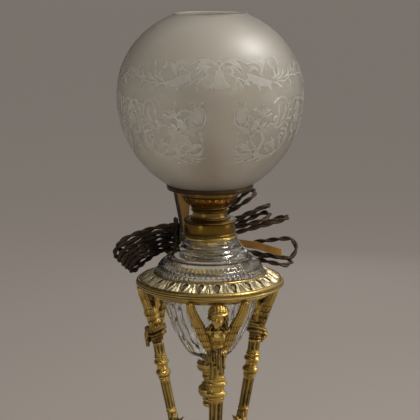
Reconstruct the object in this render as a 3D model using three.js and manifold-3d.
// Gilt bronze tripod lamp with a cut-glass font and an etched globe, in millimetres, Z up.
// The origin is on the table, under the middle of the lamp, and one leg faces -Y.
import * as THREE from "three";
import { mergeVertices } from "three/addons/utils/BufferGeometryUtils.js";
import Module from "manifold-3d";

const wasm = await Module();
wasm.setup();

// Clearances
const seat_gap = 0.3; // between pieces that rest on each other
const bore_gap = 0.4; // between a bore and what sits in it
const overrun = 5; // how far a cutting tool reaches past a face
const merge_distance = 1e-4;

// Stand
const leg_count = 3;
const front_angle = -Math.PI / 2;
const felt_thickness = 2;
const felt_inset = 3;
const plinth_height = 28;
const plinth_corner_radius = 126;
const plinth_side_radius = 66;
const plinth_corner_half = 15;
const plinth_step = 12;
const side_steps = 6;
const ring_height = 385; // above the table, at the middle of the ring's rim
const figure_height = 88; // from the figure's foot to the ring's middle
const upper_column_height = 18;
const knop_height = 29;
const lower_column_height = 44;
const leg_top_radius = 83; // from the lamp's middle to the leg's middle line
const column_foot_radius = 54;
const leg_waist_radius = 47;
const foot_radius = 96;
const leg_bow = 3.9;
const column_half_across = 9.9;
const column_half_depth = 6.6;
const column_taper_share = 0.86;
const knee_half_across = 8.5;
const paw_length = 36;
const paw_across = 27;
const paw_height = 19;
const toe_count = 4;
const leaf_height = 24;
const leaf_reach = 11;
const stretcher_share = 0.767; // of the lower leg's height
const hub_radius = 15;
const hub_height = 14;
const arm_half = 3.6;
const screw_radius = 2;
const screw_head_radius = 3.7;
const screw_head_height = 3;
const screw_depth = 12;

// Half figure and wings
const torso_share = 0.6364; // of the figure's height
const torso_half_across = 13.5;
const torso_half_depth = 10;
const head_half_across = 10.6;
const head_half_depth = 11.6;
const head_half_height = 14.6;
const head_forward = 8;
const hair_thickness = 2;
const bust_radius = 5.6;
const drape_length = 30;
const drape_half_across = 4.6;
const post_half = 5;
const wing_reach = 36; // sideways, from the figure's middle to the wing's tip
const wing_half_depth = 7.8;
const wing_half_thick = 5.2;

// Ring
const ring_bore_radius = 64;
const frieze_inner_radius = 70;
const frieze_outer_radius = 87;
const frieze_rise = 10;
const frieze_thickness = 2.2;
const frieze_count = 24;
const pocket_depth = 1.3;
const rim_radius = 88.6;
const rim_tube = 4.6;
const apron_radius = 80;
const apron_drop = 13;
const ledge_rise = 1.5;

// Font
const font_radius = 66.9;
const bowl_depth = 115;
const dome_height = 54.3;
const neck_bore = 26.8;
const peg_radius = 13.8;

// Pendant under the font
const cup_radius = 18.2;
const cup_height = 16;
const cup_depth = 7.5;
const baluster_radius = 11.8;
const baluster_height = 12.4;
const ball_radius = 18;
const ball_height = 18.6;
const drop_radius = 9.6;
const drop_height = 13;

// Collar, drum, neck and gallery
const collar_radius = 34.2;
const collar_bore = 24;
const collar_flange = 4;
const collar_skirt = 7.4;
const drum_radius = 31.9;
const drum_height = 19;
const drum_wall = 1.8;
const drum_lip = 1.2;
const neck_radius = 21.8;
const neck_height = 13.8;
const wire_bore = 15;
const basket_top_radius = 36;
const basket_height = 17;
const basket_wall = 1.5;
const arch_count = 24;
const arch_half_across = 2.3;
const arch_height = 8;
const band_radius = 40;
const band_height = 5.6;
const gallery_radius = 53.8;
const gallery_height = 5.8;
const gallery_wall = 1.6;

// Globe
const fitter_radius = 50.8; // four inch shade fitter
const globe_radius = 114.5;
const globe_crown_share = 0.917; // of the radius, above the widest circle
const globe_depth_share = 1.0978; // of the radius, below it
const globe_lip = 3.6; // the straight edge that stands in the gallery ring
const globe_mouth_radius = 45.5;
const globe_wall = 3;
const globe_steps = 4;

// Lampholder and bulb
const stem_radius = 16.5;
const stem_height = 33;
const holder_radius = 17;
const holder_height = 42;
const holder_wall = 1.6;
const cap_radius = 11;
const cap_height = 22;
const bulb_radius = 30;
const bulb_height = 84;
const bulb_wall = 1.2;

// Flex, hank, strap and plug, in a frame turned so that the hank lies square behind the neck
const hank_turn = -0.1187;
const cord_diameter = 5.4;
const strand_pitch = 6.4;
const column_pitch = 6.8;
const loop_count = 6;
const waist_across = -38;
const waist_back = 67.5;
const waist_rise = 40.6; // above the ring's middle
const waist_half_length = 12;
const bend_length = 26; // how far each loop keeps the waist's direction as it leaves
const span_growth = 1.5;
const strand_clearance = 0.6;
const easing_rounds = 60;
const bush_radius = 4.6;
const bush_length = 20;
const strap_width = 13;
const strap_thickness = 1.2;
const strap_clearance = 0.7;
const tab_top_width = 24;
const strap_end_width = 10;
const strap_end_reach = 125;
const plug_radius = 10.4;
const plug_length = 36;
const plug_pin_radius = 2;
const plug_pin_length = 18;
const plug_pin_spacing = 9.5;

// Number of flat sides on the round pieces
const large_sides = 28;
const medium_sides = 18;
const small_sides = 12;
const screw_sides = 6;

// Derived heights, bottom to top
const plinth_foot = felt_thickness + seat_gap;
const plinth_top = plinth_foot + plinth_height;
const figure_foot = ring_height - figure_height;
const torso_height = figure_height * torso_share;
const knop_top = figure_foot - upper_column_height;
const knop_foot = knop_top - knop_height;
const lower_leg_top = knop_foot - lower_column_height;
const stretcher_height = plinth_top + stretcher_share * (lower_leg_top - plinth_top);
const frieze_outer_height = ring_height + rim_tube * 0.55;
const frieze_inner_height = frieze_outer_height + frieze_rise;
const ring_underside = ring_height - apron_drop;
const ledge_height = ring_height + ledge_rise;
const font_seat = ledge_height + seat_gap;
const font_foot = font_seat - bowl_depth;
const font_top = font_seat + dome_height;
const collar_foot = font_top + seat_gap;
const collar_top = collar_foot + collar_flange;
const drum_foot = collar_top + seat_gap;
const drum_top = drum_foot + drum_height;
const neck_foot = drum_top + seat_gap;
const neck_top = neck_foot + neck_height;
const basket_foot = neck_top + seat_gap;
const basket_top = basket_foot + basket_height;
const band_foot = basket_top + seat_gap;
const band_top = band_foot + band_height;
const gallery_foot = band_top + seat_gap;
const globe_foot = gallery_foot + gallery_wall + seat_gap;
const globe_crown = globe_radius * globe_crown_share;
const globe_depth = globe_radius * globe_depth_share;
const globe_foot_angle = Math.acos((fitter_radius + bore_gap) / globe_radius);
const globe_centre = globe_foot + globe_lip + globe_depth * Math.sin(globe_foot_angle);
const stem_foot = basket_foot;
const holder_foot = stem_foot + stem_height + seat_gap;
const holder_top = holder_foot + holder_height;
const cap_foot = holder_top - cap_height / 2;
const bulb_foot = cap_foot + cap_height + seat_gap;
const waist_height = ring_height + waist_rise;

// Solid helpers

function enclosed_volume(geometry) {
  const place = geometry.getAttribute("position");
  const corners = geometry.index.array;
  const [a, b, c] = [new THREE.Vector3(), new THREE.Vector3(), new THREE.Vector3()];
  let volume = 0;
  for (let i = 0; i < corners.length; i += 3) {
    a.fromBufferAttribute(place, corners[i]);
    b.fromBufferAttribute(place, corners[i + 1]);
    c.fromBufferAttribute(place, corners[i + 2]);
    volume += a.dot(b.cross(c)) / 6;
  }
  return volume;
}

// Merges shared corners, drops triangles with no area and turns the faces outwards.
function closed(geometry) {
  const bare = new THREE.BufferGeometry();
  bare.setAttribute("position", geometry.getAttribute("position"));
  bare.setIndex(geometry.index);
  const merged = mergeVertices(bare, merge_distance);
  const corners = merged.index.array;
  const kept = [];
  for (let i = 0; i < corners.length; i += 3) {
    const [a, b, c] = [corners[i], corners[i + 1], corners[i + 2]];
    if (a !== b && b !== c && c !== a) {
      kept.push(a, b, c);
    }
  }
  merged.setIndex(kept);
  if (enclosed_volume(merged) < 0) {
    merged.setIndex([...kept].reverse());
  }
  return merged;
}

function to_solid(geometry) {
  const shape = closed(geometry);
  return new wasm.Manifold(
    new wasm.Mesh({
      numProp: 3,
      vertProperties: new Float32Array(shape.getAttribute("position").array),
      triVerts: new Uint32Array(shape.index.array),
    }),
  );
}

function from_solid(solid) {
  const mesh = solid.getMesh();
  const geometry = new THREE.BufferGeometry();
  geometry.setAttribute("position", new THREE.BufferAttribute(mesh.vertProperties, 3));
  geometry.setIndex(new THREE.BufferAttribute(mesh.triVerts, 1));
  return geometry;
}

function join(pieces) {
  return from_solid(pieces.map(to_solid).reduce((whole, next) => whole.add(next)));
}

function cut(piece, tools) {
  return from_solid(tools.map(to_solid).reduce((whole, tool) => whole.subtract(tool), to_solid(piece)));
}

// Turns an outline of [radius, height] pairs round the Z axis.
function turned(outline, sides) {
  const points = outline.map(([radius, height]) => new THREE.Vector2(radius, height));
  if (points[0].x > 0) {
    points.push(points[0].clone());
  }
  return closed(new THREE.LatheGeometry(points, sides).rotateX(Math.PI / 2));
}

// An outline of shares becomes one of sizes: shares of a radius, and of a height above a foot.
function sized(outline_shares, radius, foot, height) {
  return outline_shares.map(([across, up]) => [across * radius, foot + up * height]);
}

// Skins a stack of rings that have equal numbers of points, and closes both ends.
function loft(rings) {
  const count = rings[0].length;
  const places = rings.flat().flatMap((point) => point.toArray());
  const corners = [];
  for (let level = 1; level < rings.length; level++) {
    const low = (level - 1) * count;
    for (let i = 0; i < count; i++) {
      const next = (i + 1) % count;
      corners.push(low + i, low + next, low + count + next);
      corners.push(low + i, low + count + next, low + count + i);
    }
  }
  for (const level of [0, rings.length - 1]) {
    const centre = rings[level].reduce((sum, point) => sum.add(point), new THREE.Vector3());
    places.push(...centre.divideScalar(count).toArray());
    const tip = places.length / 3 - 1;
    for (let i = 0; i < count; i++) {
      const [here, next] = [level * count + i, level * count + ((i + 1) % count)];
      corners.push(...(level === 0 ? [tip, next, here] : [tip, here, next]));
    }
  }
  const geometry = new THREE.BufferGeometry();
  geometry.setAttribute("position", new THREE.Float32BufferAttribute(places, 3));
  geometry.setIndex(corners);
  return closed(geometry);
}

// A flat ring of points round a centre, an ellipse whose every other point may be drawn in.
function oval_ring(centre, half_x, half_y, count, hollow_share = 1) {
  return Array.from({ length: count }, (_, i) => {
    const angle = (i * 2 * Math.PI) / count;
    const share = i % 2 ? hollow_share : 1;
    const point = new THREE.Vector3(Math.cos(angle) * half_x, Math.sin(angle) * half_y, 0);
    return point.multiplyScalar(share).add(centre);
  });
}

function ball(centre, half_sizes, columns, rows) {
  const geometry = new THREE.SphereGeometry(1, columns, rows);
  return geometry.rotateX(Math.PI / 2).scale(...half_sizes).translate(...centre);
}

function block(low, high) {
  const size = high.map((value, axis) => value - low[axis]);
  const middle = high.map((value, axis) => (value + low[axis]) / 2);
  return new THREE.BoxGeometry(...size).translate(...middle);
}

function rod(radius, foot, top, sides) {
  const outline = [[0, foot], [radius, foot], [radius, top], [0, top]];
  return turned(outline, sides);
}

// A tube along points, each ring square to the way the tube runs there.
function tube(points, radius, sides) {
  const last = points.length - 1;
  const ways = points.map((point, i) => {
    const before = points[Math.max(i - 1, 0)];
    const after = points[Math.min(i + 1, last)];
    const into = point.clone().sub(before).normalize();
    const out_of = after.clone().sub(point).normalize();
    return into.add(out_of).normalize();
  });
  const side = new THREE.Vector3(0, 0, 1).cross(ways[0]).normalize();
  const rings = points.map((point, i) => {
    side.addScaledVector(ways[i], -side.dot(ways[i])).normalize();
    const up = ways[i].clone().cross(side);
    return Array.from({ length: sides }, (_, corner) => {
      const angle = (corner * 2 * Math.PI) / sides;
      const place = point.clone().addScaledVector(side, Math.cos(angle) * radius);
      return place.addScaledVector(up, Math.sin(angle) * radius);
    });
  });
  return loft(rings);
}

// Stand

// The leg's middle line between the column's foot and the ring, bowed a little outwards.
function leg_radius_at(height) {
  const down_share = (ring_height - height) / (ring_height - lower_leg_top);
  const straight = leg_top_radius + (column_foot_radius - leg_top_radius) * down_share;
  return straight + leg_bow * 4 * down_share * (1 - down_share);
}

function column_size_share_at(height) {
  const up_share = (height - lower_leg_top) / (figure_foot - lower_leg_top);
  return column_taper_share + (1 - column_taper_share) * up_share;
}

// One level of the three-sided plinth, drawn in all round by an inset.
function plinth_ring(inset, height) {
  const points = [];
  const corner = plinth_corner_radius - inset;
  const half = plinth_corner_half - inset / 2;
  const hollow = plinth_side_radius - inset;
  const turn = (2 * Math.PI) / leg_count;
  for (let leg = 0; leg < leg_count; leg++) {
    const angle = front_angle + leg * turn;
    const place = (across, out, about) =>
      new THREE.Vector2(out, across).rotateAround(new THREE.Vector2(), about);
    const start = place(half, corner, angle);
    const end = place(-half, corner, angle + turn);
    const middle = place(0, hollow, angle + turn / 2);
    const pull = middle.multiplyScalar(2).sub(start.clone().add(end).multiplyScalar(1 / 2));
    const side = new THREE.QuadraticBezierCurve(start, pull, end);
    points.push(...side.getPoints(side_steps));
  }
  return points.map((point) => new THREE.Vector3(point.x, point.y, height));
}

function base_felt() {
  return loft([plinth_ring(felt_inset, 0), plinth_ring(felt_inset, felt_thickness)]);
}

const plinth_moulding_shares = [[0, 0], [0, 0.36], [0.15, 0.46], [0.75, 0.52], [0.95, 0.66], [0.6, 0.8], [0.75, 1]];

function screw_places() {
  return Array.from({ length: leg_count }, (_, leg) => front_angle + (leg * 2 * Math.PI) / leg_count);
}

function base_plinth() {
  const levels = plinth_moulding_shares.map(([inward, up]) =>
    plinth_ring(inward * plinth_step, plinth_foot + up * plinth_height));
  const tools = screw_places().flatMap((angle) => {
    const hole = rod(screw_radius + bore_gap, plinth_foot - overrun, plinth_top + overrun, screw_sides);
    const sink_top = plinth_foot + 2 * screw_head_height + seat_gap;
    const sink = rod(screw_head_radius + bore_gap, plinth_foot - overrun, sink_top, screw_sides);
    return [hole, sink].map((tool) => tool.translate(foot_radius, 0, 0).rotateZ(angle));
  });
  return cut(loft(levels), tools);
}

function base_screw() {
  const head_foot = plinth_foot + screw_head_height;
  const head_top = head_foot + screw_head_height;
  const tip = plinth_top + screw_depth;
  const outline = [[0, head_foot], [screw_head_radius, head_foot], [screw_head_radius, head_top],
    [screw_radius, head_top], [screw_radius, tip], [0, tip]];
  return turned(outline, screw_sides).translate(foot_radius, 0, 0);
}

// The lower leg's middle line: shares of the reach from waist to foot, and of the leg's height.
const lower_leg_path_shares = [[0.14, 1], [0.05, 0.9], [0, 0.76], [0.03, 0.6], [0.25, 0.42], [0.6, 0.24], [0.86, 0.13], [1, 0.02]];
// The leg's thickness along that line: across and in depth, in shares of the knee's.
const lower_leg_width_shares = [[1, 0.72], [1.12, 0.9], [1.06, 0.84], [1, 0.86], [1.08, 1], [0.92, 0.86], [0.86, 0.8], [1.1, 0.9]];
const lower_leg_sides = 8;
// The leaf on the knee, from its stalk to its curl: how far in and down, half depth and half across.
const knee_leaf_shares = [[0, 1.7, 0.2, 0.5], [0.25, 1.2, 0.25, 1], [0.35, 0.6, 0.22, 0.9], [0.6, 0.33, 0.22, 0.7], [1, 0.24, 0.16, 0.4]];

function lower_leg() {
  const height = lower_leg_top - plinth_top;
  const reach = foot_radius - leg_waist_radius;
  const path = lower_leg_path_shares.map(([out, up]) =>
    new THREE.Vector3(leg_waist_radius + out * reach, 0, plinth_top + seat_gap + up * (height - seat_gap)));
  const rings = path.map((point, i) => {
    const before = path[Math.max(i - 1, 0)];
    const after = path[Math.min(i + 1, path.length - 1)];
    const way = i === 0 ? new THREE.Vector3(0, 0, -1) : after.clone().sub(before).normalize();
    const [across, depth] = lower_leg_width_shares[i].map((share) => share * knee_half_across);
    return Array.from({ length: lower_leg_sides }, (_, corner) => {
      const angle = (corner * 2 * Math.PI) / lower_leg_sides;
      const out = new THREE.Vector3(way.z, 0, -way.x).multiplyScalar(Math.cos(angle) * depth);
      return point.clone().add(out).add(new THREE.Vector3(0, Math.sin(angle) * across, 0));
    });
  });
  const paw_foot = plinth_top + seat_gap;
  const paw_centre = [foot_radius, 0, paw_foot + paw_height * 0.45];
  const paw = ball(paw_centre, [paw_length / 2, paw_across * 0.46, paw_height * 0.5], 7, 4);
  const toes = Array.from({ length: toe_count }, (_, toe) => {
    const share = (toe + 1 / 2) / toe_count - 1 / 2;
    const forward = foot_radius + paw_length * (0.34 - share * share * 0.5);
    const centre = [forward, share * paw_across, paw_foot + paw_height * 0.27];
    return ball(centre, [paw_length * 0.2, paw_across / toe_count / 2 + bore_gap, paw_height * 0.29], 4, 3);
  });
  const leaf = loft(knee_leaf_shares.map(([inward, down, depth, across]) => {
    const centre = new THREE.Vector3(leg_waist_radius - inward * leaf_reach, 0, lower_leg_top - down * leaf_height);
    return oval_ring(centre, leaf_reach * depth, knee_half_across * across, 6);
  }));
  const floor = block([0, -paw_length, plinth_top - paw_height], [foot_radius * 2, paw_length, paw_foot]);
  const hole = rod(screw_radius + bore_gap, plinth_top - overrun, plinth_top + screw_depth + bore_gap, screw_sides);
  return cut(join([loft(rings), paw, ...toes, leaf]), [floor, hole.translate(foot_radius, 0, 0)]);
}

const hub_shares = [[0, 0], [0.55, 0], [0.7, 0.12], [1, 0.3], [1, 0.7], [0.7, 0.88], [0.55, 1], [0, 1]];

function stretcher_hub() {
  const foot = stretcher_height - hub_height / 2;
  const hub = turned(sized(hub_shares, hub_radius, foot, hub_height), small_sides);
  const reach = leg_waist_radius - knee_half_across * lower_leg_width_shares[2][1] - seat_gap;
  const arms = screw_places().map((angle) => {
    const low = [0, -arm_half, stretcher_height - arm_half];
    const high = [reach, arm_half, stretcher_height + arm_half];
    return block(low, high).rotateZ(angle);
  });
  return join([hub, ...arms]);
}

const finial_shares = [[0, 0], [0.55, 0], [0.6, 0.12], [0.35, 0.26], [0.8, 0.4], [0.85, 0.6], [0.4, 0.84], [0, 1]];
const nut_shares = [[0, 1], [0.6, 1], [0.6, 0.78], [0.35, 0.7], [0.45, 0.35], [0.2, 0.1], [0, 0]];

function stretcher_finial() {
  const foot = stretcher_height + hub_height / 2 + seat_gap;
  return turned(sized(finial_shares, hub_radius * 0.75, foot, hub_height * 1.4), small_sides);
}

function stretcher_nut() {
  const top = stretcher_height - hub_height / 2 - seat_gap;
  return turned(sized(nut_shares, hub_radius * 0.75, top - hub_height, hub_height), small_sides);
}

const column_sides = 16;
const flute_share = 0.9;

function column_ring(height, size_share, hollow_share) {
  const centre = new THREE.Vector3(leg_radius_at(height), 0, height);
  const size = column_size_share_at(height) * size_share;
  return oval_ring(centre, column_half_depth * size, column_half_across * size, column_sides, hollow_share);
}

function column(foot, top) {
  const heights = top - foot > knop_height ? [foot, (foot + top) / 2, top] : [foot, top];
  return loft(heights.map((height) => column_ring(height, 1, flute_share)));
}

const knop_shares = [[0, 1.15], [0.2, 1.24], [0.3, 1.02], [0.62, 1.02], [0.72, 1.3], [0.9, 1.3], [1, 1.05]];

function column_knop() {
  return loft(knop_shares.map(([up, size_share]) => {
    const height = knop_foot + up * (knop_top - knop_foot);
    return column_ring(height, size_share, 1);
  }));
}

// Half figure, built facing +X and then turned to its leg

// Height, half across, half depth and forward set, each in shares of the torso's own sizes.
const torso_shares = [
  [0, 0.74, 0.66, 0], [0.06, 0.96, 0.86, 0.05], [0.2, 1, 1, 0.1], [0.32, 0.82, 0.82, 0.12],
  [0.42, 0.68, 0.72, 0.14], [0.58, 0.78, 0.8, 0.16], [0.76, 0.93, 0.8, 0.14], [0.87, 0.86, 0.66, 0.12],
  [0.93, 0.5, 0.52, 0.2], [1.06, 0.38, 0.46, 0.4],
];
const torso_sides = 8;

function torso_height_at(share) {
  return figure_foot + seat_gap + share * torso_height;
}

// The ring's underside and outer edge, with the gap that the figures and wings keep to them.
function ring_clearance() {
  const flat_share = Math.cos(Math.PI / large_sides);
  const radius = (apron_radius + seat_gap) / flat_share;
  const foot = ring_underside - seat_gap;
  const rim_foot = ring_height - rim_tube - seat_gap;
  const reach = rim_radius + 2 * rim_tube;
  const top = rim_foot + 2 * rim_tube;
  return turned([[0, foot], [radius, foot], [radius, rim_foot], [reach, rim_foot], [reach, top], [0, top]], large_sides);
}

function head_parts() {
  const out = leg_radius_at(torso_height_at(1)) + head_forward;
  const up = ring_height - rim_tube - seat_gap - head_half_height - hair_thickness;
  const skull = ball([out, 0, up], [head_half_depth, head_half_across, head_half_height], 8, 6);
  const hair_sizes = [head_half_depth, head_half_across, head_half_height].map((half) => half + hair_thickness);
  hair_sizes[2] = head_half_height * 0.86;
  const hair = ball([out - hair_thickness, 0, up + head_half_height * 0.28], hair_sizes, 8, 5);
  return [skull, hair];
}

function drape() {
  const steps = [[0.1, 1, 0.9], [-0.25, 1.15, 1], [-0.7, 0.95, 0.9], [-1, 0.75, 0.5]];
  return loft(steps.map(([up, across, depth]) => {
    const height = figure_foot + drape_length * (0.55 + up * 0.8);
    const out = leg_radius_at(height) + column_half_depth + drape_half_across * 0.75;
    const centre = new THREE.Vector3(out, 0, height);
    return oval_ring(centre, drape_half_across * 0.7 * depth, drape_half_across * across, 8);
  }));
}

function caryatid() {
  const torso = loft(torso_shares.map(([up, across, depth, forward]) => {
    const height = torso_height_at(up);
    const centre = new THREE.Vector3(leg_radius_at(height) + forward * torso_half_depth, 0, height);
    return oval_ring(centre, torso_half_depth * depth, torso_half_across * across, torso_sides);
  }));
  const chest = torso_height_at(0.66);
  const hip = torso_height_at(0.18);
  const busts = [-1, 1].map((way) => {
    const centre = [leg_radius_at(chest) + torso_half_depth * 0.72, way * torso_half_across * 0.42, chest];
    return ball(centre, Array(3).fill(bust_radius), 5, 4);
  });
  const swags = [-1, 1].map((way) => {
    const centre = [leg_radius_at(hip) + torso_half_depth * 0.2, way * torso_half_across * 0.62, hip];
    return ball(centre, [torso_half_depth * 0.95, torso_half_across * 0.5, torso_height * 0.15], 5, 4);
  });
  const post_out = leg_radius_at(torso_height_at(1)) - post_half;
  const post = block(
    [post_out - post_half, -post_half, torso_height_at(0.7)],
    [post_out + post_half, post_half, ring_height],
  );
  const hole = rod(screw_radius + bore_gap, ring_underside - screw_depth - bore_gap, ring_height, screw_sides);
  const tools = [ring_clearance(), hole.translate(post_out, 0, 0)];
  const foot = figure_foot + seat_gap;
  const column_space = loft([-1, 0].map((down) => {
    const height = foot + down * drape_length;
    return column_ring(height, 1 + (2 * seat_gap) / column_half_depth, 1);
  }));
  return cut(join([torso, ...head_parts(), ...busts, ...swags, post, drape()]), [...tools, column_space]);
}

// Along the wing: sideways, up, inward set, half depth and half thickness, in shares of its sizes.
const wing_shares = [
  [0.3, 0, 0.2, 0.4, 0.6], [0.4, 0.17, 0.45, 0.8, 0.95], [0.53, 0.38, 0.7, 1.15, 1.05],
  [0.68, 0.58, 0.5, 0.9, 0.95], [0.87, 0.82, 0.17, 0.62, 0.82], [1, 1, -0.1, 0.3, 0.5],
];
const wing_sides = 8;

function wing(way) {
  const foot = torso_height_at(0.3);
  const rise = ring_height - rim_tube - seat_gap - foot;
  const path = wing_shares.map(([across, up, inward]) => {
    const height = foot + up * rise;
    const out = leg_radius_at(height) - inward * wing_half_depth;
    return new THREE.Vector3(out, way * across * wing_reach, height);
  });
  const rings = path.map((point, i) => {
    const before = path[Math.max(i - 1, 0)];
    const after = path[Math.min(i + 1, path.length - 1)];
    const run = after.clone().sub(before).normalize();
    const [depth, thick] = [wing_shares[i][3] * wing_half_depth, wing_shares[i][4] * wing_half_thick];
    const sideways = new THREE.Vector3(0, run.z, -run.y).normalize();
    return Array.from({ length: wing_sides }, (_, corner) => {
      const angle = (corner * 2 * Math.PI) / wing_sides;
      const place = point.clone().addScaledVector(sideways, Math.sin(angle) * thick);
      return place.add(new THREE.Vector3(Math.cos(angle) * depth, 0, 0));
    });
  });
  return loft(rings);
}

// Both wings are cut back from the figure that carries them, and from the ring.
function cut_wing(way, figure) {
  const tools = [seat_gap, -seat_gap].map((shift) => figure.clone().translate(0, shift, 0));
  const pieces = to_solid(cut(wing(way), [ring_clearance(), figure, ...tools])).decompose();
  return from_solid(pieces.reduce((best, next) => (next.volume() > best.volume() ? next : best)));
}

// Support ring and its cast band

function frieze_height_at(radius) {
  const share = (radius - frieze_inner_radius) / (frieze_outer_radius - frieze_inner_radius);
  return frieze_inner_height - share * frieze_rise;
}

function support_ring() {
  const bed = (radius) => frieze_height_at(radius) - frieze_thickness - seat_gap;
  const rim_steps = 3;
  const rim_points = Array.from({ length: rim_steps + 1 }, (_, i) => {
    const angle = Math.PI * (0.62 - (i * 1.12) / rim_steps);
    return [rim_radius + Math.cos(angle) * rim_tube, ring_height + Math.sin(angle) * rim_tube];
  });
  const bead = frieze_inner_radius - font_radius - bore_gap;
  const lip = frieze_inner_radius - seat_gap;
  const outline = [
    [ring_bore_radius, ring_underside],
    [ring_bore_radius, ledge_height],
    [lip - bead, ledge_height],
    [lip - bead, frieze_inner_height - bead / 2],
    [lip - bead / 2, frieze_inner_height],
    [lip, frieze_inner_height - bead / 2],
    [lip, bed(frieze_inner_radius)],
    [frieze_outer_radius, bed(frieze_outer_radius)],
    ...rim_points,
    [apron_radius, ring_height - rim_tube],
    [apron_radius, ring_underside + apron_drop / 4],
    [apron_radius - apron_drop / 4, ring_underside],
  ];
  const ring = turned(outline, large_sides);
  const out = leg_radius_at(torso_height_at(1)) - post_half;
  const tools = screw_places().flatMap((angle) => {
    const hole = rod(screw_radius + bore_gap, ring_underside - overrun, frieze_inner_height, screw_sides);
    const sink = rod(screw_head_radius + bore_gap, ring_height - seat_gap, frieze_inner_height, screw_sides);
    return [hole, sink].map((tool) => tool.translate(out, 0, 0).rotateZ(angle));
  });
  return cut(ring, tools);
}

function ring_screw() {
  const out = leg_radius_at(torso_height_at(1)) - post_half;
  const tip = ring_underside - screw_depth;
  const head_top = ring_height + screw_head_height;
  const outline = [[0, tip], [screw_radius, tip], [screw_radius, ring_height],
    [screw_head_radius, ring_height], [screw_head_radius, head_top], [0, head_top]];
  return turned(outline, screw_sides).translate(out, 0, 0);
}

function ring_frieze() {
  const under = (radius) => frieze_height_at(radius) - frieze_thickness;
  const outer = frieze_outer_radius - seat_gap;
  const outline = [
    [frieze_inner_radius, under(frieze_inner_radius)],
    [frieze_inner_radius, frieze_height_at(frieze_inner_radius)],
    [outer, frieze_height_at(outer)],
    [outer, under(outer)],
  ];
  const width = outer - frieze_inner_radius;
  const [start, end] = [width * 0.12, width * 0.82];
  const half = (Math.PI * frieze_inner_radius) / frieze_count * 0.5;
  const pocket = new THREE.Shape();
  pocket.moveTo(start, 0);
  pocket.quadraticCurveTo((start + end) / 3, half * 1.3, end, 0);
  pocket.quadraticCurveTo((start + end) / 3, -half * 1.3, start, 0);
  const tool = new THREE.ExtrudeGeometry(pocket, {
    depth: pocket_depth + overrun, bevelEnabled: false, curveSegments: 2,
  });
  const slope = Math.atan2(frieze_rise, frieze_outer_radius - frieze_inner_radius);
  tool.translate(0, 0, -pocket_depth).rotateY(slope).translate(frieze_inner_radius, 0, frieze_inner_height);
  const tools = Array.from({ length: frieze_count }, (_, i) =>
    tool.clone().rotateZ((i * 2 * Math.PI) / frieze_count));
  return cut(turned(outline, large_sides), tools);
}

// Font

const bowl_shares = [
  [0, 0], [0.215, 0], [0.225, 0.08], [0.43, 0.21], [0.64, 0.4], [0.83, 0.64], [0.96, 0.86], [1, 1],
];
const dome_shares = [
  [1, 0], [1, 0.2], [0.965, 0.36], [0.88, 0.48], [0.76, 0.56], [0.73, 0.63],
  [0.64, 0.72], [0.55, 0.86], [0.506, 0.95], [0.506, 1],
];
const hollow_shares = [[0.56, 0.88], [0.8, 0.72], [0.915, 0.58], [0.76, 0.02]];
const sump_shares = [[0.61, 0.49], [0.42, 0.28], [0, 0.115]];

function glass_font() {
  const bowl_radius = ring_bore_radius - 2 * bore_gap;
  const bowl = sized(bowl_shares, bowl_radius, font_foot, bowl_depth);
  const dome = sized(dome_shares, font_radius, font_seat, dome_height);
  const hollow = sized(hollow_shares, font_radius, font_seat - dome_height, 2 * dome_height);
  const sump = sized(sump_shares, font_radius, font_foot, bowl_depth);
  const neck = [[neck_bore, font_top], [neck_bore, font_top - collar_skirt - 2 * seat_gap]];
  return turned([...bowl, ...dome, ...neck, ...hollow, ...sump], large_sides);
}

function font_collar() {
  const skirt = neck_bore - bore_gap;
  const outline = [
    [collar_bore, collar_foot - collar_skirt],
    [skirt, collar_foot - collar_skirt],
    [skirt, collar_foot],
    [collar_radius, collar_foot],
    [collar_radius, collar_foot + collar_flange * 0.4],
    [collar_radius - collar_flange * 0.4, collar_top - collar_flange * 0.25],
    [drum_radius - drum_lip, collar_top],
    [collar_bore, collar_top],
  ];
  return turned(outline, medium_sides);
}

const cup_shares = [[0, 0], [0.5, 0], [0.58, 0.18], [0.78, 0.36], [0.98, 0.5], [1, 0.88], [0.96, 1]];

function pendant_cup() {
  const seat = font_foot - seat_gap;
  const foot = seat + cup_depth - cup_height;
  const bore = peg_radius + 2 * bore_gap;
  const outline = [...sized(cup_shares, cup_radius, foot, cup_height), [bore, foot + cup_height], [bore, seat], [0, seat]];
  return turned(outline, medium_sides);
}

const baluster_shares = [[0, 0], [1, 0.02], [0.78, 0.24], [0.74, 0.46], [0.9, 0.66], [0.94, 0.84], [0.8, 1], [0, 1]];
const ball_shares = [[0, 0], [0.54, 0], [0.76, 0.14], [0.98, 0.38], [1, 0.6], [0.86, 0.88], [0.5, 1], [0, 1]];
const drop_shares = [[0, 0], [0.6, 0.06], [0.92, 0.3], [0.94, 0.6], [1, 1], [0, 1]];

function pendant_pieces() {
  const cup_foot = font_foot - seat_gap + cup_depth - cup_height;
  const baluster_foot = cup_foot - seat_gap - baluster_height;
  const ball_foot = baluster_foot - seat_gap - ball_height;
  const drop_foot = ball_foot - seat_gap - drop_height;
  return {
    pendant_baluster: turned(sized(baluster_shares, baluster_radius, baluster_foot, baluster_height), small_sides),
    pendant_ball: turned(sized(ball_shares, ball_radius, ball_foot, ball_height), small_sides),
    pendant_drop: turned(sized(drop_shares, drop_radius, drop_foot, drop_height), small_sides),
  };
}

// Burner, gallery and lampholder

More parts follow.
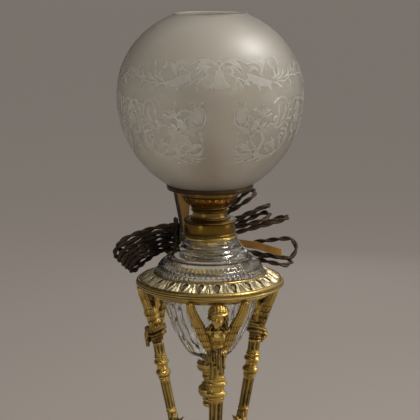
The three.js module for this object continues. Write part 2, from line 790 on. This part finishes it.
function burner_drum() {
  const spigot = collar_bore - bore_gap;
  const spigot_foot = collar_foot - collar_skirt / 2;
  const outline = [
    [spigot - drum_wall, spigot_foot],
    [spigot, spigot_foot],
    [spigot, drum_foot],
    [drum_radius, drum_foot],
    [drum_radius + drum_lip, drum_foot + drum_lip],
    [drum_radius, drum_foot + 2 * drum_lip],
    [drum_radius, drum_top - 3 * drum_lip],
    [drum_radius + drum_lip, drum_top - 1.5 * drum_lip],
    [drum_radius - drum_lip / 2, drum_top],
    [wire_bore, drum_top],
    [wire_bore, drum_top - drum_wall],
    [drum_radius - drum_wall, drum_top - drum_wall],
    [drum_radius - drum_wall, drum_foot + drum_wall],
    [spigot - drum_wall, drum_foot + drum_wall],
  ];
  return turned(outline, medium_sides);
}

const neck_shares = [[1.08, 0], [1.08, 0.1], [1, 0.22], [1, 0.66], [1.06, 0.8], [0.96, 1]];

function burner_neck() {
  const outer = sized(neck_shares, neck_radius, neck_foot, neck_height);
  const neck = turned([...outer, [wire_bore, neck_top], [wire_bore, neck_foot]], medium_sides);
  const hole = rod(bush_radius + bore_gap, 0, 2 * neck_radius, 10).rotateX(-Math.PI / 2);
  return cut(neck, [hole.translate(0, 0, bush_height)]);
}

const bush_height = neck_foot + neck_height * 0.45;
const bush_start = neck_radius - bush_radius;

function cord_bush() {
  const end = bush_start + bush_length;
  const outline = [[0, bush_start], [bush_radius, bush_start], [bush_radius, bush_start + bush_length / 2],
    [cord_diameter * 0.62, end], [0, end]];
  return turned(outline, 10).rotateX(-Math.PI / 2).translate(0, 0, bush_height);
}

const basket_shares = [[0.49, 0], [0.65, 0], [0.86, 0.36], [1, 1]];

function gallery_basket() {
  const outer = sized(basket_shares, basket_top_radius, basket_foot, basket_height);
  const inner = sized(basket_shares, basket_top_radius, basket_foot, basket_height)
    .slice(2)
    .reverse()
    .map(([radius, height]) => [radius - basket_wall, height]);
  const floor = [[basket_shares[1][0] * basket_top_radius, basket_foot + basket_wall],
    [stem_radius + bore_gap, basket_foot + basket_wall]];
  outer[0][0] = stem_radius + bore_gap;
  const shell = turned([...outer, ...inner, ...floor], arch_count).rotateZ(Math.PI / arch_count);
  const arch = new THREE.Shape();
  const foot = basket_foot + basket_height * 0.3;
  arch.moveTo(-arch_half_across, foot);
  arch.lineTo(arch_half_across, foot);
  arch.lineTo(arch_half_across, foot + arch_height * 0.45);
  arch.lineTo(0, foot + arch_height);
  arch.lineTo(-arch_half_across, foot + arch_height * 0.45);
  const tool = new THREE.ExtrudeGeometry(arch, { depth: 2 * basket_top_radius, bevelEnabled: false });
  const [across, up, out] = [new THREE.Vector3(0, 1, 0), new THREE.Vector3(0, 0, 1), new THREE.Vector3(1, 0, 0)];
  tool.applyMatrix4(new THREE.Matrix4().makeBasis(across, up, out));
  const tools = Array.from({ length: arch_count }, (_, i) =>
    tool.clone().rotateZ((i * 2 * Math.PI) / arch_count));
  return cut(shell, tools);
}

function gallery_band() {
  const outline = [
    [basket_top_radius - basket_wall, band_foot],
    [basket_top_radius + basket_wall, band_foot],
    [band_radius, band_foot + band_height * 0.45],
    [band_radius, band_top],
    [band_radius - 2 * basket_wall, band_top],
    [band_radius - 2 * basket_wall, band_foot + band_height * 0.6],
    [basket_top_radius - basket_wall, band_foot + band_height * 0.35],
  ];
  return turned(outline, medium_sides);
}

function gallery_ring() {
  const floor = gallery_foot + gallery_wall;
  const top = gallery_foot + gallery_height;
  const inside = band_radius - 2 * basket_wall;
  const outline = [
    [inside, gallery_foot],
    [gallery_radius - gallery_wall / 2, gallery_foot],
    [gallery_radius, gallery_foot + gallery_wall],
    [gallery_radius, top - gallery_wall / 2],
    [gallery_radius - gallery_wall / 2, top],
    [gallery_radius - gallery_wall, top],
    [gallery_radius - gallery_wall, floor],
    [inside, floor],
  ];
  return turned(outline, large_sides);
}

function lampholder_stem() {
  const outline = [
    [stem_radius - 3 * holder_wall, stem_foot],
    [stem_radius, stem_foot],
    [stem_radius, stem_foot + 2 * holder_wall],
    [stem_radius * 0.7, stem_foot + 4 * holder_wall],
    [stem_radius * 0.7, stem_foot + stem_height * 0.8],
    [holder_radius, stem_foot + stem_height],
    [stem_radius * 0.7 - holder_wall, stem_foot + stem_height],
    [stem_radius * 0.7 - holder_wall, stem_foot + 4 * holder_wall],
  ];
  return turned(outline, small_sides);
}

function lampholder_shell() {
  const inner = holder_radius - 2 * holder_wall;
  const outline = [
    [0, holder_foot],
    [holder_radius, holder_foot],
    [holder_radius, holder_foot + holder_height * 0.5],
    [holder_radius + 2 * holder_wall, holder_foot + holder_height * 0.54],
    [holder_radius + 2 * holder_wall, holder_foot + holder_height * 0.66],
    [holder_radius, holder_foot + holder_height * 0.7],
    [holder_radius, holder_top],
    [inner, holder_top],
    [inner, cap_foot - seat_gap],
    [0, cap_foot - seat_gap],
  ];
  return turned(outline, small_sides);
}

function bulb_cap() {
  return rod(cap_radius, cap_foot, cap_foot + cap_height, small_sides);
}

const bulb_shares = [[0, 1], [0.42, 0.955], [0.78, 0.84], [1, 0.66], [0.97, 0.5], [0.78, 0.32], [0.5, 0.14], [0.34, 0]];

function bulb_glass() {
  const outer = sized(bulb_shares, bulb_radius, bulb_foot, bulb_height);
  const inner = sized(bulb_shares, bulb_radius - bulb_wall, bulb_foot, bulb_height - bulb_wall).reverse();
  return turned([...outer, ...inner], small_sides);
}

// Globe: an ellipse above its widest circle, and a deeper one below it

function globe_outline(inset) {
  const crown_end = Math.acos((globe_mouth_radius - inset) / (globe_radius - inset));
  const foot_end = Math.acos((fitter_radius + bore_gap - inset) / (globe_radius - inset));
  const points = [];
  for (let i = -globe_steps; i <= globe_steps; i++) {
    const share = i / globe_steps;
    const angle = share * (share < 0 ? foot_end : crown_end);
    const reach = share < 0 ? globe_depth : globe_crown;
    const radius = (globe_radius - inset) * Math.cos(angle);
    points.push([radius, globe_centre + (reach - inset) * Math.sin(angle)]);
  }
  return points;
}

function globe_shade() {
  const outer = globe_outline(0);
  const inner = globe_outline(globe_wall).reverse();
  const top = outer.at(-1)[1] + globe_wall / 2;
  const lip = [[globe_mouth_radius, top], [globe_mouth_radius - globe_wall, top]];
  const foot = [[fitter_radius - globe_wall, globe_foot], [fitter_radius, globe_foot]];
  return turned([...outer, ...lip, ...inner, ...foot], large_sides);
}

// Flex, in the turned frame: x across, y back, z up

const along_waist = new THREE.Vector3(1, 0, 0);

// Where each loop's tip lies: across, back and up, in millimetres from the waist, like a cord's route.
const right_tips = [[96, -3, 61], [114, -3, 43], [115, -3, 31], [138, -6, 28], [149, -15, -11], [143, -15, -29]];
const left_tips = [[-80, -23, -8], [-84, -31, -15], [-78, -39, -19], [-72, -47, -21.5], [-67, -54, -23.5], [-61, -61, -24.6]];
// Half the width of each loop, in cord diameters, and how far its plane is turned from the depth.
const right_width_shares = [2.1, 2.1, 2.1, 2.1, 2.4, 2.1];
const left_width_shares = [2, 2, 2, 2, 2, 2];
const right_twists = [0.3, -0.2, 0.2, 0, 1.1, 0.2];
// The low loops sweep back to pass behind the font.
const right_sweeps = [0, 0, 0, 0, 8, 18];
const left_stack = new THREE.Vector3(0.5, -0.7, -0.5).normalize();
const right_stack = new THREE.Vector3(0, 0, -1);
const cap_steps = 5;
// Where the flex comes down behind the neck and turns into the hank's first strand, from the waist.
const hank_start = [[38.2, -3.6, 36.6], [36.6, 0, 32.7], [33, 3, 25], [26.5, 3.4, 18.2], [19.5, 3.4, 16.1]];

function from_waist([across, back, up]) {
  return new THREE.Vector3(waist_across + across, waist_back + back, waist_height + up);
}

function waist_point(side, row, column) {
  return new THREE.Vector3(
    waist_across + side * waist_half_length,
    waist_back + (column * column_pitch) / 2,
    waist_height + ((loop_count - 1) / 2 - row) * strand_pitch,
  );
}

// One loop beyond the waist: out along one side, round its tip, and back along the other.
function loop_points(from, to, tip, half_width, stack, twist, sweep) {
  const root = from.clone().add(to).multiplyScalar(1 / 2);
  const way = tip.clone().sub(root).normalize();
  const span = to.clone().sub(from).multiplyScalar(1 / 2);
  const spread = way.clone().cross(stack).normalize().applyAxisAngle(way, twist);
  const centre = tip.clone().addScaledVector(way, -half_width);
  const bend = root.clone().add(new THREE.Vector3(Math.sign(root.x - waist_across) * bend_length, sweep, 0));
  const run = new THREE.QuadraticBezierCurve3(root, bend, centre);
  const strand = (share, side) =>
    run.getPoint(share)
      .addScaledVector(span, side * span_growth * (1 - share))
      .addScaledVector(spread, side * half_width * share ** 2);
  const cap = Array.from({ length: cap_steps }, (_, i) => {
    const angle = Math.PI * (i / (cap_steps - 1) - 1 / 2);
    const place = centre.clone().addScaledVector(spread, Math.sin(angle) * half_width);
    return place.addScaledVector(way, Math.cos(angle) * half_width);
  });
  const shares = [0.22, 0.46, 0.74];
  const out = shares.map((share) => strand(share, -1));
  const back = [...shares].reverse().map((share) => strand(share, 1));
  return [...out, ...cap, ...back];
}

function hank_points() {
  const points = hank_start.map(from_waist);
  points.push(waist_point(1, 0, 1));
  for (let turn = 0; turn < loop_count; turn++) {
    const [left_tip, right_tip] = [from_waist(left_tips[turn]), from_waist(right_tips[turn])];
    const [left_out, left_back] = [waist_point(-1, turn, 1), waist_point(-1, turn, -1)];
    const [right_out, right_back] = [waist_point(1, turn, -1), waist_point(1, turn + 1, 1)];
    const left_half = left_width_shares[turn] * cord_diameter;
    const right_half = right_width_shares[turn] * cord_diameter;
    points.push(left_out, ...loop_points(left_out, left_back, left_tip, left_half, left_stack, 0, 0));
    points.push(left_back, right_out);
    points.push(...loop_points(right_out, right_back, right_tip, right_half, right_stack, right_twists[turn], right_sweeps[turn]));
    points.push(right_back);
  }
  const end = points.pop();
  points.push(end.clone().addScaledVector(along_waist, cord_diameter), end);
  return points;
}

function polyline_length(points) {
  return points.slice(1).reduce((sum, point, i) => sum + point.distanceTo(points[i]), 0);
}

// The nearest places of two straight stretches: how far along each one, and the way between them.
function nearest_between(from_a, to_a, from_b, to_b) {
  const run_a = to_a.clone().sub(from_a);
  const run_b = to_b.clone().sub(from_b);
  const offset = from_a.clone().sub(from_b);
  const [aa, ab, bb] = [run_a.dot(run_a), run_a.dot(run_b), run_b.dot(run_b)];
  const [ao, bo] = [run_a.dot(offset), run_b.dot(offset)];
  const limit = (share) => THREE.MathUtils.clamp(share, 0, 1);
  const spread = aa * bb - ab * ab;
  let share_a = spread > merge_distance ? limit((ab * bo - ao * bb) / spread) : 0;
  const share_b = limit((ab * share_a + bo) / bb);
  share_a = limit((ab * share_b - ao) / aa);
  const way = offset.addScaledVector(run_a, share_a).addScaledVector(run_b, -share_b);
  return { share_a, share_b, way };
}

// Calls back for each two stretches of the hank that lie apart along it but not in space.
function each_close_pair(points, reach, visit) {
  const runs = points.map((_, i) => polyline_length(points.slice(0, i + 1)));
  let least = Infinity;
  for (let i = 0; i < points.length - 1; i++) {
    for (let j = i + 2; j < points.length - 1; j++) {
      if (runs[j] - runs[i + 1] < 3 * cord_diameter) {
        continue;
      }
      const nearest = nearest_between(points[i], points[i + 1], points[j], points[j + 1]);
      const distance = nearest.way.length();
      least = Math.min(least, distance);
      if (distance < reach) {
        visit(i, j, nearest, distance);
      }
    }
  }
  return least;
}

// Pushes strands apart wherever they crowd each other, as wound cords do. The waist stays put.
function eased(points) {
  const reach = cord_diameter + strand_clearance;
  const held = points.map((point, i) => i <= hank_start.length || Math.abs(point.x - waist_across) <= waist_half_length);
  for (let round = 0; round < easing_rounds; round++) {
    each_close_pair(points, reach, (i, j, { share_a, share_b, way }, distance) => {
      const push = way.clone().multiplyScalar((reach - distance) / distance / 2);
      const parts = [[i, 1 - share_a, 1], [i + 1, share_a, 1], [j, 1 - share_b, -1], [j + 1, share_b, -1]];
      for (const [at, share, side] of parts) {
        if (!held[at]) {
          points[at].addScaledVector(push, side * share);
        }
      }
    });
  }
  return points;
}

const hank_route = eased(hank_points());
const least_distance = each_close_pair(hank_route, 0, () => {});
console.log(`hank length ${polyline_length(hank_route).toFixed(1)}, least gap ${(least_distance - cord_diameter).toFixed(2)}`);

// A free stretch of flex: its first and last points are joined by straight ends to what it meets.
function free_flex(route) {
  const curve = new THREE.CatmullRomCurve3(route.map((place) => new THREE.Vector3(...place)), false, "centripetal");
  const section = new THREE.Shape();
  section.absarc(0, 0, cord_diameter / 2, 0, 2 * Math.PI);
  const steps = Math.ceil(curve.getLength() / (1.5 * cord_diameter));
  return new THREE.ExtrudeGeometry(section, { steps, extrudePath: curve, bevelEnabled: false, curveSegments: 6 });
}

// The lead from the bush ends in line with the hank's first stretch.
const lead_run = hank_route[1].clone().sub(hank_route[0]).normalize();
const lead_end = hank_route[0].clone().addScaledVector(lead_run, -seat_gap);
const lead_back = bush_start + bush_length + seat_gap;
const lead_route = [
  [0, lead_back, bush_height],
  [0, lead_back + 7.5, bush_height - 0.2],
  [0.4, lead_back + 14.1, bush_height - 1.6],
  lead_end.clone().addScaledVector(lead_run, -cord_diameter).toArray(),
  lead_end.toArray(),
];
// The tail winds once round the waist and comes down behind the ring to the plug.
const hank_end = hank_route.at(-1);
const plug_place = [-6, 22.5, -25];
const [plug_start, plug_back, plug_height] = from_waist(plug_place).toArray();
const tail_turns = [[5, 3.4, -22.4], [-1.8, 2.7, -22.6], [-5.4, -1.9, -22.8], [-6.9, -7.6, -20.4], [-7.2, -10, -13.6],
  [-7.2, -10.3, -0.6], [-7.2, -10.3, 11.4], [-7.1, -9.3, 19.4], [-6.7, -4.7, 23.4], [-6.2, 1, 24.2], [-5.8, 7, 22.4],
  [-6, 11.2, 16], [-10, 14, 5.4], [-17, 17, -5.6], [-22, 20, -16.1], [-20, 21.9, -23], [-13.5, 22.5, -25]];
const tail_route = [
  [hank_end.x - seat_gap, hank_end.y, hank_end.z],
  ...tail_turns.map((place) => from_waist(place).toArray()),
  [plug_start - seat_gap, plug_back, plug_height],
];

function flex_hank() {
  return tube(hank_route, cord_diameter / 2, 6);
}

// Amber strap: a band round the waist, a tab up to the gallery ring and a loose end to the right

function ribbon(stations) {
  return loft(stations.map(([middle, half_width_way, thick_way]) => {
    const corners = [[-1, -1], [1, -1], [1, 1], [-1, 1]];
    return corners.map(([wide, thick]) =>
      middle.clone().addScaledVector(half_width_way, wide).addScaledVector(thick_way, thick));
  }));
}

const strap_middle = waist_across + waist_half_length - strap_width / 2 - seat_gap;
const bundle_half_depth = (column_pitch + cord_diameter) / 2;
const bundle_top = waist_height + ((loop_count - 1) / 2) * strand_pitch + cord_diameter / 2;
const bundle_foot = bundle_top - loop_count * strand_pitch - cord_diameter;

// The band follows the bundle's section, which has one strand less at its lower front corner.
function strap_band() {
  const section = (grow) => {
    const front = waist_back - bundle_half_depth - strap_clearance - grow;
    const back = waist_back + bundle_half_depth + strap_clearance + grow;
    const foot = bundle_foot - strap_clearance - grow;
    const top = bundle_top + strap_clearance + grow;
    const notch = waist_back - strap_clearance - grow / 2;
    const corners = [[front, top], [front, foot + strand_pitch * 1.2], [notch, foot], [back, foot], [back, top]];
    return corners.map(([along, up]) => new THREE.Vector2(along, up));
  };
  const shape = new THREE.Shape(section(strap_thickness));
  shape.holes.push(new THREE.Path(section(0)));
  const band = new THREE.ExtrudeGeometry(shape, { depth: strap_width, bevelEnabled: false });
  const [back, up, across] = [new THREE.Vector3(0, 1, 0), new THREE.Vector3(0, 0, 1), new THREE.Vector3(1, 0, 0)];
  return band.applyMatrix4(new THREE.Matrix4().makeBasis(back, up, across)).translate(strap_middle - strap_width / 2, 0, 0);
}

const strap_front = waist_back - bundle_half_depth - strap_clearance - strap_thickness / 2;

function strap_tab() {
  const reach = gallery_radius + 3 * seat_gap;
  const top_back = Math.sqrt(reach ** 2 - (strap_middle - tab_top_width / 2) ** 2) + strap_thickness;
  const stations = [[0.05, 0.5], [0.3, 0.62], [0.65, 0.84], [1, 1]].map(([up, width]) => {
    const foot = bundle_top - strap_width / 2;
    const height = foot + up * (gallery_foot + gallery_height - foot);
    const back = strap_front + (top_back - strap_front) * up ** 1.4;
    return [
      new THREE.Vector3(strap_middle - (tab_top_width / 2) * up * 0.35, back, height),
      new THREE.Vector3((tab_top_width / 2) * width, 0, 0),
      new THREE.Vector3(0, strap_thickness / 2, 0),
    ];
  });
  return ribbon(stations);
}

// Places of the strap's loose end in shares of its reach: across, forward and down from the waist.
const strap_end_shares = [[0.014, 0, 0.005], [0.118, 0.006, 0.006], [0.294, 0.018, 0.011], [0.454, 0.028, 0.021], [0.742, 0.068, 0.057],
  [0.998, 0.132, 0.117]];

function strap_end() {
  const stations = strap_end_shares.map((shares) => {
    const [across, forward, down] = shares.map((share) => share * strap_end_reach);
    return [
      new THREE.Vector3(strap_middle + across, strap_front - forward, waist_height - down),
      new THREE.Vector3(0, 0, strap_end_width / 2),
      new THREE.Vector3(0, strap_thickness / 2, 0),
    ];
  });
  return ribbon(stations);
}

function flex_strap() {
  const keep_off = rod(gallery_radius + seat_gap, gallery_foot - overrun, gallery_foot + 2 * overrun, large_sides);
  return cut(join([strap_band(), strap_tab(), strap_end()]), [keep_off]);
}

const plug_shares = [[0, 0], [0.42, 0], [0.5, 0.2], [0.72, 0.4], [0.96, 0.62], [1, 0.7], [1, 0.96], [0.94, 1], [0, 1]];

function plug_body() {
  const outline = sized(plug_shares, plug_radius, 0, plug_length);
  return turned(outline, small_sides).rotateY(Math.PI / 2).translate(plug_start, plug_back, plug_height);
}

function plug_pin(way) {
  const pin = rod(plug_pin_radius, 0, plug_pin_length, 10).rotateY(Math.PI / 2);
  const start = plug_start + plug_length + seat_gap;
  return pin.translate(start, plug_back, plug_height + way * plug_pin_spacing / 2);
}

// Finishes

function finish(colour, roughness, metalness, opacity = 1) {
  return new THREE.MeshStandardMaterial({ color: colour, roughness, metalness, opacity, transparent: opacity < 1 });
}

const gilt = finish(0xb08d3e, 0.3, 1);
const dark_gilt = finish(0x7d5f28, 0.4, 1);
const brown_patina = finish(0x2a1d12, 0.45, 0.8);
const steel = finish(0x8a8a88, 0.4, 1);
const felt = finish(0x2f4a34, 0.95, 0);
const clear_glass = finish(0xdfe5e2, 0.03, 0, 0.35);
const etched_glass = finish(0xd8dbd2, 0.5, 0, 0.75);
const bulb_white = finish(0xf2f0e8, 0.35, 0);
const brown_cloth = finish(0x5a4430, 0.85, 0);
const amber = finish(0xb5781c, 0.2, 0, 0.8);
const brown_plug = finish(0x2b1a12, 0.35, 0);

// The lamp

const lamp = new THREE.Group();
const behind = new THREE.Group();
behind.rotation.z = hank_turn;
lamp.add(behind);

function add(group, name, geometry, material) {
  const mesh = new THREE.Mesh(geometry, material);
  mesh.name = name;
  group.add(mesh);
  return mesh;
}

add(lamp, "base_felt", base_felt(), felt);
add(lamp, "base_plinth", base_plinth(), dark_gilt);

const figure = caryatid();
const leg_pieces = {
  base_screw: [base_screw(), steel],
  lower_leg: [lower_leg(), gilt],
  lower_column: [column(lower_leg_top + seat_gap, knop_foot - seat_gap), gilt],
  column_knop: [column_knop(), gilt],
  upper_column: [column(knop_top + seat_gap, figure_foot), gilt],
  caryatid: [figure, gilt],
  left_wing: [cut_wing(1, figure), gilt],
  right_wing: [cut_wing(-1, figure), gilt],
  ring_screw: [ring_screw(), steel],
};
screw_places().forEach((angle, leg) => {
  for (const [name, [geometry, material]] of Object.entries(leg_pieces)) {
    add(lamp, `${name}_${leg + 1}`, geometry, material).rotation.z = angle;
  }
});

add(lamp, "stretcher_hub", stretcher_hub(), dark_gilt);
add(lamp, "stretcher_finial", stretcher_finial(), gilt);
add(lamp, "stretcher_nut", stretcher_nut(), gilt);
add(lamp, "support_ring", support_ring(), gilt);
add(lamp, "ring_frieze", ring_frieze(), gilt);

add(lamp, "glass_font", glass_font(), clear_glass);
add(lamp, "font_collar", font_collar(), gilt);
add(lamp, "pendant_cup", pendant_cup(), gilt);
for (const [name, geometry] of Object.entries(pendant_pieces())) {
  add(lamp, name, geometry, gilt);
}

add(lamp, "burner_drum", burner_drum(), dark_gilt);
add(behind, "burner_neck", burner_neck(), dark_gilt);
add(lamp, "gallery_basket", gallery_basket(), dark_gilt);
add(lamp, "gallery_band", gallery_band(), gilt);
add(lamp, "gallery_ring", gallery_ring(), brown_patina);
add(lamp, "lampholder_stem", lampholder_stem(), dark_gilt);
add(lamp, "lampholder_shell", lampholder_shell(), dark_gilt);
add(lamp, "bulb_cap", bulb_cap(), steel);
add(lamp, "bulb_glass", bulb_glass(), bulb_white);
add(lamp, "globe_shade", globe_shade(), etched_glass);

add(behind, "cord_bush", cord_bush(), dark_gilt);
add(behind, "flex_lead", free_flex(lead_route), brown_cloth);
add(behind, "flex_hank", flex_hank(), brown_cloth);
add(behind, "flex_tail", free_flex(tail_route), brown_cloth);
add(behind, "flex_strap", flex_strap(), amber);
add(behind, "plug_body", plug_body(), brown_plug);
add(behind, "plug_pin_top", plug_pin(1), dark_gilt);
add(behind, "plug_pin_bottom", plug_pin(-1), dark_gilt);

export default lamp;
